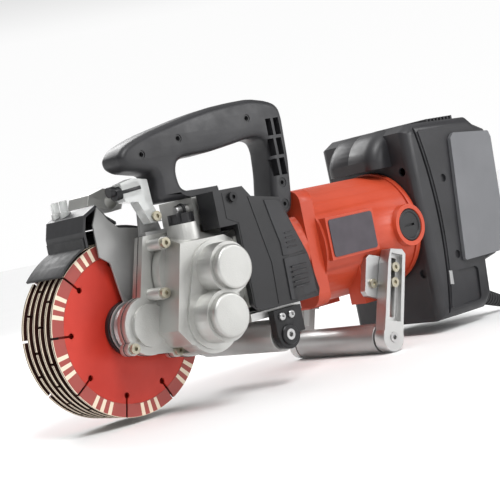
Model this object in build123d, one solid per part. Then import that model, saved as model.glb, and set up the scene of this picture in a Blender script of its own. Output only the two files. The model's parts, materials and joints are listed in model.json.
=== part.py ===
"""Wall chaser: six diamond blades on a spindle, driven through a spur train and a bevel pair by a
universal motor, with a spring-loaded blade guard, two depth rollers, a D-shaped front handle, a line
laser and a rear motor housing with the mains cord.

Working axes: X runs along the motor axis to the rear, Y along the blade spindle away from the gearcase,
Z up. Everything is drawn about the middle of the front blade's outer face and saved about the middle of
the tool's footprint, on the surface that it stands on.
"""
import os
from math import atan2, cos, degrees, hypot, pi, radians, sin, sqrt, tan

from build123d import *

# ---- driving dimensions, mm ----
FOOT_X, FOOT_Y, FOOT_Z = 197.5, -11.0, -83.0   # the row's origin, in working axes

BLADE_R = 78.0              # 156 mm blades
BLADE_CORE = 2.2            # steel core thickness
SEGMENT_THICK = 3.0         # diamond segments stand proud of the core on both sides
SEGMENT_DEPTH = 12.0
SLOTS = 9
SLOT_HOLE_R = 2.6
SLOT_CENTRE_R = 58.7
SLOT_WIDTH = 2.0
SLOT_FIRST = 214.7          # angle of one slot, degrees from +X towards +Z
BLADES = 6
BLADE_PITCH = 9.3
ARBOR_R = 12.7              # 25.4 mm arbor
CLAMP_R = 24.5

MODULE = 2.0                # spur gears
SPINDLE_TEETH, IDLER_TEETH, UPPER_TEETH, CROSS_TEETH = 20, 24, 18, 28
BACKLASH = 0.12             # taken off each flank
BEVEL_MODULE = 1.5
PINION_TEETH, CROWN_TEETH = 12, 36
RUNNING = 0.05              # radial clearance of a shaft in its bearing

MOTOR_Z = 33.0              # height of the motor axis above the spindle
MOTOR_R = 57.0
MOTOR_BORE = 51.0
FLANGE_BORE = 46.0
MOTOR_FRONT, FLANGE_REAR, MOTOR_REAR = 186.0, 202.0, 372.0
BRUSH_X = 318.0
STATOR_FRONT, STATOR_REAR = 227.0, 287.0

COVER_FACE, CASE_SPLIT, CASE_LEDGE, CASE_NEAR = -20.0, -26.0, -32.0, -85.0
HANDLE_MID, HANDLE_HALF, HANDLE_EDGE = -29.0, 16.0, 2.0

IDLER = (44 * cos(radians(-5.5)), 44 * sin(radians(-5.5)))
UPPER = (IDLER[0] + 42 * cos(radians(71)), IDLER[1] + 42 * sin(radians(71)))
CROSS = (UPPER[0] + sqrt(46**2 - (UPPER[1] - MOTOR_Z) ** 2), MOTOR_Z)

FRONT_ROLLER = (124.0, -37.0)
FRONT_ROLLER_R = 15.0
REAR_ROLLER = (254.0, -68.5)
REAR_ROLLER_R = 14.5
ARM_LEAN = 18.8             # degrees between a depth arm and the vertical


# ---- helpers ----
def slab(outline, y_from, y_to):
    """An outline drawn in X and Z, as thick as the two Y values are apart."""
    high, low = max(y_from, y_to), min(y_from, y_to)
    return extrude(Plane.XZ.offset(-high) * outline, amount=high - low)


def rod_y(centre, r, y_from, y_to):
    return slab(Pos(*centre) * Circle(r), y_from, y_to)


def ring_y(centre, r_out, r_in, y_from, y_to):
    return rod_y(centre, r_out, y_from, y_to) - rod_y(centre, r_in, y_from - 1, y_to + 1)


def rod_x(y, z, r, x_from, x_to):
    return extrude(Plane.YZ.offset(x_from) * (Pos(y, z) * Circle(r)), amount=x_to - x_from)


def ring_x(y, z, r_out, r_in, x_from, x_to):
    return rod_x(y, z, r_out, x_from, x_to) - rod_x(y, z, r_in, x_from - 1, x_to + 1)


def rod_z(x, y, r, z_from, z_to):
    return extrude(Plane.XY.offset(z_from) * (Pos(x, y) * Circle(r)), amount=z_to - z_from)


def block(x, y, z):
    """A box from three (low, high) pairs."""
    size = [b - a for a, b in (x, y, z)]
    middle = [(a + b) / 2 for a, b in (x, y, z)]
    return Pos(*middle) * Box(*size)


def shape(*points, radius=0.0):
    outline = make_face(Polyline(*points, close=True))
    return fillet(outline.vertices(), radius) if radius else outline


def polar(r, angle):
    return (r * cos(radians(angle)), r * sin(radians(angle)))


def capsule(a, b, r_a, r_b):
    """Two circles and their outer tangents."""
    return make_hull([*(Pos(*a) * Circle(r_a)).edges(), *(Pos(*b) * Circle(r_b)).edges()])


def solids(*parts):
    """Separate solids kept side by side in one node."""
    found = []
    for part in parts:
        found += part.solids()
    return Compound(children=found)


def save(name, part):
    moved = Location((-FOOT_X, -FOOT_Y, -FOOT_Z)) * part
    export_step(moved, os.path.join("parts", name + ".step"))


# ---- gears ----
def spur_outline(teeth, phase):
    """Involute teeth of 20 degrees, thinned for backlash; phase is the angle of one tooth's middle."""
    pitch_r = MODULE * teeth / 2
    base_r = pitch_r * cos(radians(20))
    tip_r, root_r = pitch_r + 0.9 * MODULE, pitch_r - 1.25 * MODULE

    def involute(r):
        turn = 0.0 if r <= base_r else atan2(sqrt(r * r - base_r * base_r), base_r)
        return tan(turn) - turn

    half_at_pitch = pi / 2 / teeth - BACKLASH / pitch_r
    radii = [root_r, max(base_r, root_r + 0.3), pitch_r - 0.4, pitch_r + 0.8, tip_r]
    points = []
    for tooth in range(teeth):
        middle = phase + 360 * tooth / teeth
        widths = [degrees(half_at_pitch + involute(pitch_r) - involute(r)) for r in radii]
        points += [polar(r, middle - w) for r, w in zip(radii, widths)]
        points += [polar(r, middle + w) for r, w in zip(reversed(radii), reversed(widths))]
    return make_face(Polyline(*points, close=True))


def spur(centre, teeth, phase, y_from, y_to, bore):
    outline = Pos(*centre) * spur_outline(teeth, phase)
    gear = slab(outline, y_from, y_to)
    return gear - rod_y(centre, bore, y_from - 1, y_to + 1) if bore else gear


def mesh_phase(phase, teeth, mate_teeth, start, end):
    """The mate's tooth angle that puts a gap of the mate at the first gear's tooth."""
    line = degrees(atan2(end[1] - start[1], end[0] - start[0]))
    ahead = ((phase - line) * teeth / 360) % 1
    return line + 180 + (0.5 - ahead) * 360 / mate_teeth


SPINDLE = (0.0, 0.0)
PHASE_SPINDLE = 0.0
PHASE_IDLER = mesh_phase(PHASE_SPINDLE, SPINDLE_TEETH, IDLER_TEETH, SPINDLE, IDLER)
PHASE_UPPER = mesh_phase(PHASE_IDLER, IDLER_TEETH, UPPER_TEETH, IDLER, UPPER)
PHASE_CROSS = mesh_phase(PHASE_UPPER, UPPER_TEETH, CROSS_TEETH, UPPER, CROSS)

CROWN_PITCH = BEVEL_MODULE * CROWN_TEETH / 2
PINION_PITCH = BEVEL_MODULE * PINION_TEETH / 2
CONE_LONG = hypot(CROWN_PITCH, PINION_PITCH)
BEVEL_FACE = 8.0


def bevel_teeth(teeth, own_pitch, mate_pitch, first):
    """Straight bevel teeth round local Z with the apex at the origin; the wheel lies at negative Z."""
    lean = atan2(own_pitch, mate_pitch)
    out = Vector(sin(lean), 0, -cos(lean))          # along the pitch cone, away from the apex
    rise = Vector(cos(lean), 0, sin(lean))          # out of the tooth
    side = Vector(0, 1, 0)
    thick = 0.38 * pi * BEVEL_MODULE
    above, below = 0.7 * BEVEL_MODULE, 1.5 * BEVEL_MODULE
    ends = []
    for reach in (CONE_LONG - BEVEL_FACE, CONE_LONG):
        scale = reach / CONE_LONG
        half = thick / 2 * scale
        slope = tan(radians(20))
        corners = []
        for height, sign in ((above, 1), (above, -1), (-below, -1), (-below, 1)):
            width = half - height * scale * slope
            corners.append(out * reach + rise * (height * scale) + side * (sign * width))
        ends.append(make_face(Polyline(*corners, close=True)))
    tooth = loft(ends)
    return [Rot(0, 0, first + 360 * n / teeth) * tooth for n in range(teeth)]


def bevel_body(own_pitch, mate_pitch, back, bore):
    """The wheel under the teeth: a ring with a conical face, open to its bore."""
    lean = atan2(own_pitch, mate_pitch)
    sink = 1.25 * BEVEL_MODULE
    rim, drop = [], []
    for reach in (CONE_LONG - BEVEL_FACE, CONE_LONG):
        scale = reach / CONE_LONG
        rim.append(reach * sin(lean) - sink * scale * cos(lean))
        drop.append(-reach * cos(lean) - sink * scale * sin(lean))
    inner, outer = (rim[0], drop[0]), (rim[1], drop[1])
    points = [(bore, drop[0]), inner, outer, (outer[0] - 1.5, -back), (bore, -back)]
    return revolve(Plane.XZ * make_face(Polyline(*points, close=True)), Axis.Z)


def crown_gear():
    """The large bevel wheel on the cross shaft."""
    wheel = bevel_body(CROWN_PITCH, PINION_PITCH, 18.5, 6.0)
    for tooth in bevel_teeth(CROWN_TEETH, CROWN_PITCH, PINION_PITCH, 180 / CROWN_TEETH):
        wheel += tooth
    turned = Rot(-90, 0, 0) * wheel                  # local -Z becomes -Y
    return Pos(CROSS[0], 0, CROSS[1]) * turned


def armature_shaft():
    """The motor shaft with the bevel pinion cut on its front end."""
    pinion = bevel_body(PINION_PITCH, CROWN_PITCH, CROWN_PITCH + 6, 0.01)
    for tooth in bevel_teeth(PINION_TEETH, PINION_PITCH, CROWN_PITCH, 0.0):
        pinion += tooth
    pinion = Pos(CROSS[0], 0, MOTOR_Z) * (Rot(0, -90, 0) * pinion)
    shaft = rod_x(0, MOTOR_Z, 6.0, CROSS[0] + 21.5, 363.0)
    return pinion + shaft


# ---- blades and spindle ----
def blade(index):
    front = index * BLADE_PITCH
    core_front = front + (SEGMENT_THICK - BLADE_CORE) / 2
    core_r = BLADE_R - SEGMENT_DEPTH
    disc = rod_y(SPINDLE, core_r, core_front, core_front + BLADE_CORE)
    disc += ring_y(SPINDLE, BLADE_R, core_r, front, front + SEGMENT_THICK)
    disc -= rod_y(SPINDLE, ARBOR_R, front - 1, front + SEGMENT_THICK + 1)
    stagger = 360 / SLOTS * index / 2.5
    for slot in range(SLOTS):
        angle = SLOT_FIRST + stagger + 360 * slot / SLOTS
        keyhole = Pos(*polar(SLOT_CENTRE_R, angle)) * Circle(SLOT_HOLE_R)
        reach = BLADE_R + 2 - SLOT_CENTRE_R
        middle = polar(SLOT_CENTRE_R + reach / 2, angle)
        keyhole += Pos(*middle) * Rot(0, 0, angle) * Rectangle(reach, SLOT_WIDTH)
        disc -= slab(keyhole, front - 1, front + SEGMENT_THICK + 1)
    return disc


STACK_FRONT = (SEGMENT_THICK - BLADE_CORE) / 2
STACK_BACK = STACK_FRONT + BLADE_CORE + (BLADES - 1) * BLADE_PITCH
CLAMP_FRONT = -5.2
CLAMP_BACK = STACK_BACK + 6.0
NUT_BACK = CLAMP_BACK + 8.0


def blade_spacers():
    rings = []
    for gap in range(BLADES - 1):
        start = STACK_FRONT + BLADE_CORE + gap * BLADE_PITCH
        rings.append(ring_y(SPINDLE, 22.0, ARBOR_R, start, start + BLADE_PITCH - BLADE_CORE))
    return solids(*rings)


def clamp_flanges():
    front = ring_y(SPINDLE, CLAMP_R, ARBOR_R, CLAMP_FRONT, STACK_FRONT)
    back = ring_y(SPINDLE, CLAMP_R, ARBOR_R, STACK_BACK, CLAMP_BACK)
    return solids(front, back)


def arbor_nut():
    nut = slab(RegularPolygon(17.0, 6, major_radius=False), CLAMP_BACK, NUT_BACK)
    return nut - rod_y(SPINDLE, 10.0, CLAMP_BACK - 1, NUT_BACK + 1)


def spindle():
    shaft = rod_y(SPINDLE, 10.0, -33.5, NUT_BACK + 2)
    return shaft + rod_y(SPINDLE, ARBOR_R, -7.5, STACK_BACK + 4)


# ---- gear shafts ----
PLANE_A = (-27.4, -22.0)        # spindle gear and idler pinion
PLANE_B = (-58.0, -47.0)        # cross shaft, upper and idler gears


def idler_shaft():
    return rod_y(IDLER, 7.0, -83.5, -21.7)


def idler_gears():
    phase = PHASE_IDLER
    return solids(
        spur(IDLER, IDLER_TEETH, phase, *PLANE_A, 7.0), spur(IDLER, IDLER_TEETH, phase, *PLANE_B, 7.0)
    )


def upper_gear_shaft():
    gear = spur(UPPER, UPPER_TEETH, PHASE_UPPER, *PLANE_B, 0)
    return gear + rod_y(UPPER, 7.0, -83.5, -37.2)


def cross_shaft():
    gear = spur(CROSS, CROSS_TEETH, PHASE_CROSS, *PLANE_B, 0)
    return gear + rod_y(CROSS, 6.0, -65.8, -10.5)


BEARINGS = {
    # where: (axis, inner radius, outer radius, from, to)
    "spindle_rear": (SPINDLE, 10.0, 15.5, -34.0, -28.4),
    "spindle_front": (SPINDLE, 10.0, 16.5, -17.5, -8.0),
    "idler_near": (IDLER, 7.0, 16.0, -84.0, -75.0),
    "idler_mid": (IDLER, 7.0, 16.0, -42.0, -34.0),
    "upper_near": (UPPER, 7.0, 16.0, -84.0, -75.0),
    "upper_mid": (UPPER, 7.0, 14.0, -45.0, -37.0),
    "cross_near": (CROSS, 6.0, 13.0, -66.0, -60.0),
    "cross_mid": (CROSS, 6.0, 13.0, -44.0, -36.0),
}
MOTOR_BEARINGS = ((176.0, 186.0, 14.0), (352.0, 361.0, 12.0))


def shaft_bearings():
    rings = []
    for axis, bore, out, low, high in BEARINGS.values():
        rings.append(ring_y(axis, out, bore + RUNNING, low, high))
    rings += [ring_x(0, MOTOR_Z, out, 6.0 + RUNNING, low, high) for low, high, out in MOTOR_BEARINGS]
    return solids(*rings)


# ---- gearcase ----
FACE_LOW, FACE_HIGH = (5.0, -8.0), (28.0, 73.0)
CASE_SCREWS = ((19.0, 67.0), (8.3, 25.4), (-21.5, -15.7), (24.0, -27.0), (70.0, 66.0), (77.0, -14.0))
BARREL_R, BARREL_BACK = 22.5, -64.0      # the two round bearing housings on the near side
FILLER = (46.0, -46.0)


def case_outline():
    wall = shape(FACE_LOW, FACE_HIGH, (60, 73), (84, 58), (84, 8), (70, -18), (30, -30), (16, -22))
    return wall + Pos(*IDLER) * Circle(31.0) + Pos(*UPPER) * Circle(24.0)


def flange_outline():
    plate = shape((-13, -6), (12, 76), (66, 76), (84, 58), (84, -20), (60, -34), (0, -25))
    for screw in CASE_SCREWS:
        plate += Pos(*screw) * Circle(5.8)
    return plate + Circle(25.5) + Pos(*IDLER) * Circle(32.0)


def gear_chamber(grow):
    return capsule(SPINDLE, IDLER, 22.6 + grow, 26.8 + grow)


def gearcase():
    body = slab(case_outline(), CASE_LEDGE, BARREL_BACK)
    roof = shape((-95, 54), (-95, 120), (-30, 120), (-30, 74.5))
    body -= extrude(Plane.YZ.offset(-40) * roof, amount=160)
    body += slab(flange_outline(), CASE_SPLIT, CASE_LEDGE)
    body += rod_y(SPINDLE, 18.5, CASE_LEDGE, -36.0)
    body += rod_z(*FILLER, 14.5, 50.0, 80.0)
    lens = rod_y(UPPER, 45.0, -33.0, -43.0)
    body += lens & slab(shape((-20, 14), (-5, 64), (40, 64), (40, 14)), -32, -46)
    body += slab(capsule(IDLER, UPPER, 27.5, 26.0), BARREL_BACK, BARREL_BACK - 2.5)
    body += slab(capsule(IDLER, UPPER, 9.0, 9.0), BARREL_BACK, -79.0)
    for axis in (IDLER, UPPER):
        body += rod_y(axis, BARREL_R, BARREL_BACK, CASE_NEAR)
    for screw in CASE_SCREWS[:2]:
        body += rod_y(screw, 5.5, CASE_LEDGE, -50.0)
    # cavities
    body -= slab(gear_chamber(0), CASE_SPLIT + 1, -28.4)
    body -= rod_y(SPINDLE, 15.5, -28.0, -34.0)
    body -= rod_y(SPINDLE, 10.6, -33.0, -35.0)
    body -= rod_y(IDLER, 9.0, -20.0, -46.0)
    body -= rod_y(IDLER, 16.0, -34.0, -46.0)
    body -= rod_y(UPPER, 14.0, -37.0, -46.0)
    body -= slab(capsule(IDLER, UPPER, 26.8, 20.8), -45.0, -60.5)
    body -= rod_y(IDLER, 9.0, -60.0, -75.0) + rod_y(UPPER, 9.0, -60.0, -75.0)
    body -= rod_y(IDLER, 16.0, -74.0, -86.0) + rod_y(UPPER, 16.0, -74.0, -86.0)
    body -= rod_y(CROSS, 31.0, -45.0, -60.0)
    body -= rod_z(*FILLER, 8.0, 40.0, 81.0)
    for n, screw in enumerate(CASE_SCREWS):
        deep = n < 2
        body -= rod_y(screw, 3.0, COVER_FACE, -51.0 if deep else CASE_LEDGE)
        if not deep:
            body -= rod_y(screw, 5.1, CASE_LEDGE, -44.5)
    return body


NECK_R = 19.5


def gearcase_cover():
    plate = slab(flange_outline(), COVER_FACE, CASE_SPLIT)
    plate += rod_y(SPINDLE, NECK_R, -5.8, COVER_FACE)
    plate -= slab(gear_chamber(0), -21.5, CASE_SPLIT - 1)
    plate -= rod_y(SPINDLE, 13.0, -22.0, -17.0)
    plate -= rod_y(SPINDLE, 16.5, -17.5, -5.0)
    for x, z in CASE_SCREWS:
        plate -= rod_y((x, z), 3.0, -21.5, -27.0)
    return plate


def bearing_caps():
    caps = []
    for axis in (UPPER, IDLER):
        cap = rod_y(axis, 19.5, CASE_NEAR, -92.0)
        rim = cap.edges().filter_by(GeomType.CIRCLE).sort_by(Axis.Y)[:1]
        caps.append(fillet(rim, 2.5))
    return solids(*caps)


def filler_plug():
    x, y = FILLER
    plug = rod_z(x, y, 11.5, 80.0, 89.0) + rod_z(x, y, 7.9, 70.0, 80.0)
    for n in range(8):
        plug -= rod_z(x + 12.4 * cos(n * pi / 4), y + 12.4 * sin(n * pi / 4), 2.2, 82.0, 90.0)
    return plug


def screw_y(centre, y_head, y_tip, r, head_r, head):
    """A socket screw along Y whose head is at the low-Y end."""
    body = rod_y(centre, r, y_head, y_tip) + rod_y(centre, head_r, y_head - head, y_head)
    socket = Pos(*centre) * RegularPolygon(head_r * 0.45, 6)
    return body - slab(socket, y_head - head - 1, y_head - head * 0.4)


def case_screws():
    screws = []
    for n, centre in enumerate(CASE_SCREWS):
        head = -50.0 if n < 2 else CASE_LEDGE
        screws.append(screw_y(centre, head, -22.0, 2.95, 4.6, 4.0))
    return screws


# ---- gearhead between gearcase and motor ----
COVER_OUTLINE = (
    (64, 102), (98, 102), (106, 92), (140, 86), (152, 62), (171, 30), (180, -5),
    (176, -11), (92, -9), (84.3, -2), (84.3, 70), (64, 70),
)


HANDLE_SEAT = ((156, 190), (-46, -12.5), (65, 100))       # room for the handle's rear post
COLLAR_FRONT, COLLAR_R, NECK_END_R = 173.0, 50.3, 46.0    # the motor housing's lip over the neck


def gearhead():
    """Aluminium casting with the cross shaft and the bevel pair, open towards the gearcase."""
    body = slab(shape((84, -8), (150, -8), (150, 66), (120, 76), (84, 62)), -50.0, 14.0)
    body += slab(shape((84, -4), (133, -4), (141, 24), (133, 58), (112, 74), (84, 60)), -50.0, -68.0)
    body += rod_y(CROSS, 33.5, -19.6, -1.0) & block((69.5, 120), (-30, 10), (-10, 80))
    saddle = slab(shape((62, 64), (62, 101), (106, 101), (120, 64)), -46.0, 2.0)
    body += saddle - rod_y(UPPER, 41.5, -60, -20)
    neck = Plane.YZ.offset(138.0) * (Pos(0, MOTOR_Z) * Circle(41.0))
    wide = Plane.YZ.offset(MOTOR_FRONT) * (Pos(0, MOTOR_Z) * Circle(50.0))
    body += loft([neck, wide])
    body -= block(*HANDLE_SEAT)
    body -= ring_x(0, MOTOR_Z, 60.0, NECK_END_R, COLLAR_FRONT, MOTOR_FRONT + 1)
    body -= slab(flange_outline(), COVER_FACE - 0.05, CASE_LEDGE)
    body -= rod_y(CROSS, 31.0, -45.0, -60.0)
    body -= rod_y(CROSS, 13.0, -35.0, -66.0)
    body -= rod_y(CROSS, 9.0, -18.0, -40.0)
    body -= rod_y(CROSS, 30.0, -19.0, -5.0)
    body -= block((104, 146), (-16, 10), (-3, 61))
    body -= rod_x(0, MOTOR_Z, 30.0, 140, 172)
    body -= rod_x(0, MOTOR_Z, 12.0, 118.0, 150.0)
    body -= rod_x(0, MOTOR_Z, 9.0, 140.0, 180.0)
    body -= rod_x(0, MOTOR_Z, 14.0, 176.0, 190.0)
    return body


def gear_cover():
    """The black faceted plastic cover on the near side of the gearhead."""
    outer = slab(shape(*COVER_OUTLINE), -50.5, -74.0)
    slope = shape((135, -80), (135, -74.5), (190, -56), (190, -80))
    outer -= extrude(Plane.XY.offset(-60) * slope, amount=200)
    inner = offset(shape(*COVER_OUTLINE), -3.0)
    hollow = slab(inner, -49.0, -70.5)
    roof = shape((135, -90), (135, -71.0), (190, -52.5), (190, -90))
    hollow -= extrude(Plane.XY.offset(-60) * roof, amount=200)
    cover = outer - hollow
    cover += rod_y((84, 94), 5.0, -46.0, -72.0)
    cover -= rod_y((84, 94), 2.2, -39.0, -75.0)
    cover -= block((83, 90), (-68.3, -49), (-12, 66.5))
    cover -= block((83, 137), (-68.3, -49), (-8.5, 0))
    return cover


# ---- handle ----
GRIP = (
    (-5, 142), (-1, 151), (9, 157), (32, 164), (56, 169), (81, 174), (106, 178), (131, 180),
    (156, 181), (178, 177), (189, 172), (192, 162), (190, 120), (184, 80), (178, 68), (162, 70),
    (160, 88), (165, 112), (167, 136), (162, 144), (148, 145), (120, 141), (95, 138), (62, 137),
    (55, 131), (54, 118), (58, 108), (98, 107), (100, 101.2), (30, 101.2), (32, 128), (2, 134),
)


def handle():
    body = slab(shape(*GRIP, radius=HANDLE_EDGE), HANDLE_MID - HANDLE_HALF, HANDLE_MID + HANDLE_HALF)
    ends = body.faces().filter_by(Axis.Y)
    return fillet(ends.edges(), HANDLE_EDGE)


HANDLE_SCREWS = ((19.0, 145.0), (62.0, 154.0), (146.0, 163.0))
POST_SCREWS = ((174.0, 99.0), (172.0, 79.0))


def handle_halves():
    whole = handle()
    hollow = ((10, 142), (14, 150), (58, 161), (108, 169), (153, 172), (153, 153), (108, 147), (58, 145))
    whole -= slab(shape(*hollow), HANDLE_MID - 9, HANDLE_MID + 9)
    wells = [(centre, 3.6, 1.6) for centre in HANDLE_SCREWS] + [(centre, 4.8, 2.1) for centre in POST_SCREWS]
    for centre, well_r, hole_r in wells:
        whole -= rod_y(centre, well_r, HANDLE_MID - HANDLE_HALF - 1, HANDLE_MID - 12)
        whole -= rod_y(centre, hole_r, HANDLE_MID - 13, HANDLE_MID + 12)
    for row, z in enumerate((150.0, 128.0, 108.0)):
        for column in (0, 1):
            x = 171.5 + 10.5 * column - 1.2 * row
            whole -= slab(Pos(x, z) * Rectangle(8.0, 17.0), HANDLE_MID - HANDLE_HALF - 1, HANDLE_MID - 8)
    near = split(whole, Plane.XZ.offset(-HANDLE_MID), keep=Keep.TOP)
    far = split(whole, Plane.XZ.offset(-HANDLE_MID), keep=Keep.BOTTOM)
    return near, far


# ---- motor ----
def motor_housing():
    flange = Plane.YZ.offset(MOTOR_FRONT) * (Pos(0, MOTOR_Z) * RectangleRounded(100, 112, 12))
    body = extrude(flange, amount=FLANGE_REAR - MOTOR_FRONT)
    body += rod_x(0, MOTOR_Z, MOTOR_R, FLANGE_REAR - 1, MOTOR_REAR)
    body += rod_x(0, MOTOR_Z, MOTOR_R + 1.8, 329.0, 335.0)
    body += block((204, 270), (-60.0, -20.0), (17, 58))
    for side in (-1, 1):
        low, high = sorted((side * 50.0, side * 30.0))
        body += block((246, 290), (low, high), (-32, 8))
        body += rod_y((BRUSH_X, MOTOR_Z), 21.0, side * 40, side * 62.0)
    body -= rod_x(0, MOTOR_Z, MOTOR_BORE, FLANGE_REAR + 1, MOTOR_REAR + 1)
    body -= rod_x(0, MOTOR_Z, FLANGE_BORE, MOTOR_FRONT + 4, FLANGE_REAR + 2)
    body -= rod_x(0, MOTOR_Z, 16.0, MOTOR_FRONT - 1, 195.0)
    collar = ring_x(0, MOTOR_Z, COLLAR_R, NECK_END_R + 0.05, COLLAR_FRONT, MOTOR_FRONT)
    body += collar - block(*HANDLE_SEAT)
    body -= lean(rod_y(CLAMP_SCREW, 3.0, -58.0, -36.0))
    spider = ring_x(0, MOTOR_Z, 17.0, 12.0, 352.0, 362.0)
    for n in range(4):
        rib = block((352, 362), (-3.5, 3.5), (14.5, MOTOR_BORE + 1))
        spider += Pos(0, 0, MOTOR_Z) * Rot(45 + 90 * n, 0, 0) * rib
    body += spider
    for side in (-1, 1):
        body -= rod_y((BRUSH_X, MOTOR_Z), 16.6, side * 52, side * 63)
        through = sorted((side * 40, side * 60))
        body -= block((BRUSH_X - 8, BRUSH_X + 8), through, (MOTOR_Z - 6, MOTOR_Z + 6))
    return body


def nameplate():
    plate = Plane.XZ.offset(60.0) * (Pos(237, 37.5) * RectangleRounded(60, 36, 3))
    return extrude(plate, amount=1.0)


def stator():
    """A sheet-steel ring with two poles, above and below the armature."""
    yoke = ring_x(0, MOTOR_Z, MOTOR_BORE, 44.0, STATOR_FRONT, STATOR_REAR)
    poles = block((STATOR_FRONT, STATOR_REAR), (-17, 17), (MOTOR_Z - 46, MOTOR_Z + 46))
    shoes = ring_x(0, MOTOR_Z, 32.0, 28.6, STATOR_FRONT, STATOR_REAR)
    shoes &= block((STATOR_FRONT, STATOR_REAR), (-27, 27), (MOTOR_Z - 46, MOTOR_Z + 46))
    bore = rod_x(0, MOTOR_Z, 28.6, STATOR_FRONT - 1, STATOR_REAR + 1)
    return yoke + (poles - bore) + shoes


def stator_windings():
    """Two coils round the poles, wound through the yoke's windows."""
    coils = []
    for side in (-1, 1):
        low, high = sorted((MOTOR_Z + side * 32.2, MOTOR_Z + side * 43.0))
        coil = block((STATOR_FRONT - 8, STATOR_REAR + 8), (-25, 25), (low, high))
        coil -= block((STATOR_FRONT - 0.1, STATOR_REAR + 0.1), (-17.1, 17.1), (low - 1, high + 1))
        coils.append(coil & rod_x(0, MOTOR_Z, 43.9, 200, 310) - rod_x(0, MOTOR_Z, 32.1, 199, 311))
    return solids(*coils)


def armature_core():
    core = ring_x(0, MOTOR_Z, 27.8, 6.0, 226.0, 288.0)
    for n in range(12):
        slot = block((225, 289), (-1.2, 1.2), (18, 30))
        core -= Pos(0, 0, MOTOR_Z) * Rot(30 * n, 0, 0) * slot
    return core


def commutator():
    return ring_x(0, MOTOR_Z, 14.0, 6.0, 306.0, 330.0)


def cooling_fan():
    hub = ring_x(0, MOTOR_Z, 10.0, 6.0, 204.0, 216.0) + ring_x(0, MOTOR_Z, 44.0, 9.0, 204.0, 206.0)
    for n in range(11):
        vane = block((205, 215), (-0.9, 0.9), (20, 44))
        hub += Pos(0, 0, MOTOR_Z) * Rot(360 / 11 * n, 0, 0) * vane
    return hub


def brush_set():
    holders, brushes, caps = [], [], []
    for side in (-1, 1):
        span = sorted((side * 30.0, side * 51.9))
        tube = block((BRUSH_X - 7.9, BRUSH_X + 7.9), span, (MOTOR_Z - 5.9, MOTOR_Z + 5.9))
        core = block((BRUSH_X - 6, BRUSH_X + 6), (-60, 60), (MOTOR_Z - 4, MOTOR_Z + 4))
        holders.append(tube - core)
        span = sorted((side * 14.3, side * 44.0))
        brushes.append(block((BRUSH_X - 6, BRUSH_X + 6), span, (MOTOR_Z - 4, MOTOR_Z + 4)))
        cap = rod_y((BRUSH_X, MOTOR_Z), 16.6, side * 52, side * 60.5)
        span = sorted((side * 58.5, side * 62))
        slot = block((BRUSH_X - 7, BRUSH_X + 7), span, (MOTOR_Z - 1.2, MOTOR_Z + 1.2))
        caps.append(cap - slot)
    return solids(*holders), solids(*brushes), solids(*caps)


# ---- rear housing ----
REAR_HALF = 62.0
REAR_OUTLINE = (
    (338, -70), (336, 126), (350, 133), (440, 131), (450, 123), (467, 116), (470, 106), (466, 28),
    (448, -19), (428, -23), (425, -58), (412, -70),
)


ROCKER_PIVOT = (466.0, 80.0)


REAR_WALL = 4.0
REAR_EDGE = 10.0                         # rounding of the housing's two side rims
DIMPLES = ((381.0, 72.0), (380.0, -8.0))


def nose_profile():
    """Side view of the hood that reaches forwards over the motor."""
    front = Polyline((348, 94), (311, 94), (311, 104))
    crown = ThreePointArc((311, 104), (323, 123), (348, 133))
    return make_face(front + crown + Line((348, 133), (348, 94)))


def rear_relief(side):
    """Grooves, raised rims and screw dimples cut into or standing on one side wall."""
    face = side * REAR_HALF
    sunk, proud = face - side * 2, face + side * 1.2
    seam = slab(trace(ThreePointArc((350, 128), (362, 40), (350, -64)), 3.0), sunk, proud)
    rim = slab(trace(ThreePointArc((357, 124), (368, 40), (356, -60)), 4.0), sunk, proud)
    pocket = slab(shape((372, -24), (408, -25), (404, -60), (372, -60), radius=5.0), sunk, proud)
    dimples = [rod_y(centre, 4.2, face - side * 2.6, proud) for centre in DIMPLES]
    return seam, rim, [pocket, *dimples]


def rear_housing():
    body = slab(shape(*REAR_OUTLINE), -REAR_HALF, REAR_HALF)
    body = fillet(body.faces().filter_by(Axis.Y).edges(), REAR_EDGE)
    nose = slab(nose_profile(), -36.0, 36.0)
    rims = nose.faces().filter_by(Axis.Y).edges()
    body += fillet([rim for rim in rims if rim.center().Z > 96 and rim.center().X < 347], 14.0)
    for side in (-1, 1):
        seam, rim, cuts = rear_relief(side)
        body += rim
        body -= seam
        for cut in cuts:
            body -= cut
        for z in (86.0, -20.0):
            body -= rod_x(side * 48.0, z, 4.5, 330.0, 340.6)
    for n in range(8):
        start = 401 + 5.6 * n
        body += block((start, start + 2.6), (-38, 38), (128, 136))
    body -= slab(offset(shape(*REAR_OUTLINE), -REAR_WALL), REAR_WALL - REAR_HALF, REAR_HALF - REAR_WALL)
    body -= slab(offset(nose_profile(), -REAR_WALL), -28.0, 28.0)
    body -= rod_x(0, MOTOR_Z, MOTOR_R, 290.0, 345.0)
    body += block((460, 468), (-17, 17), (60, 100))
    body -= block((455, 480), (-11, 11), (65, 95))
    body -= rod_y(ROCKER_PIVOT, 2.05, -13.2, 13.2)
    body -= rod_y((BRUSH_X, MOTOR_Z), 21.5, -70, 70)
    body -= boot_place(rod_z(0, 0, 10.0, -30, 30))
    return body


def side_panel():
    corners = ((386, -16), (400, 111), (406, 116), (463, 112), (466, 105), (461, 29), (444, -16))
    return slab(shape(*corners, radius=2.5), -REAR_HALF, -REAR_HALF - 4.0)


def switch_rocker():
    rocker = block((463, 473), (-10.6, 10.6), (66.0, 94.0)) + rod_y(ROCKER_PIVOT, 2.0, -13.0, 13.0)
    return rocker - Pos(477, 0, 80) * Rot(90, 0, 0) * Cylinder(9.0, 30)


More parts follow.
